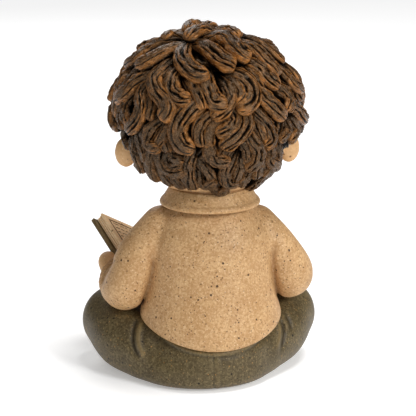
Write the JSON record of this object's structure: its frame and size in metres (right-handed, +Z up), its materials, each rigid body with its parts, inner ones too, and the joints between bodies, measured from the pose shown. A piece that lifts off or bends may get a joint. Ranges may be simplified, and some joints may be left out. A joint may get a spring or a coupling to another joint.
{
  "type": "boy reading figurine",
  "caption": "Small cast statuette of a boy with thick curly hair who sits cross-legged, reads an open book in his hands, and rests on a flat underside.",
  "frame": {"origin": "on the flat underside, below the middle of the neck", "axes": "+Z up, -Y the way the boy faces, +X to the boy's left"},
  "size_m": [0.0986, 0.0969, 0.145],
  "materials": {
    "speckled_shirt": "satin stone-effect paint, tan with dark and light specks",
    "hair_paint": "satin, dark brown with the ridges dry-brushed orange brown",
    "skin_paint": "satin, light tan with fine specks",
    "trouser_paint": "satin stone-effect paint, olive brown with ochre specks",
    "page_paint": "satin, cream pages with fine engraved lines",
    "cover_paint": "satin, dark olive brown"
  },
  "bodies": {
    "root": {"boy_reading_figurine": "speckled_shirt"}
  },
  "joints": []
}
